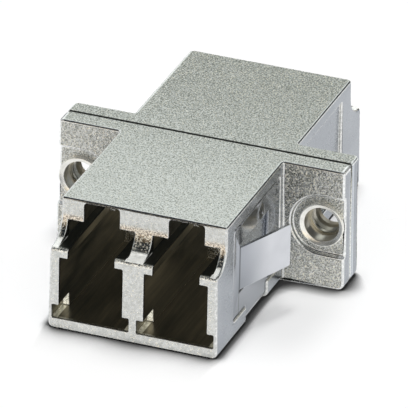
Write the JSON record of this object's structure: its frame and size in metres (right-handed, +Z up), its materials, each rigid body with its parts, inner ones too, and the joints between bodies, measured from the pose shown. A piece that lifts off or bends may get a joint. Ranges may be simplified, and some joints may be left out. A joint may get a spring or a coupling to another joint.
{
  "type": "fibre optic coupler",
  "caption": "Flanged metal coupler that joins pairs of small fibre plugs end to end, with keyed ports, latch slots and a panel spring clip.",
  "frame": {"origin": "under the middle of the body, on the seam between the two castings", "axes": "+X across the flange, +Y from the front ports (with the spring clip) to the rear ports, +Z up, latch slots on top"},
  "size_m": [0.0216, 0.0288, 0.0092],
  "materials": {
    "cast_zinc": "bright nickel plate over a gritty cast skin",
    "spring_sheet": "smooth rolled sheet, satin",
    "turned_bush": "turned, bright nickel plate",
    "zirconia": "ground white ceramic"
  },
  "bodies": {
    "root": {"front_housing": "cast_zinc", "rear_housing": "cast_zinc", "panel_clip": "spring_sheet", "alignment_sleeve_left": "zirconia", "alignment_sleeve_right": "zirconia", "flange_bush_left": "turned_bush", "flange_bush_right": "turned_bush"}
  },
  "joints": []
}
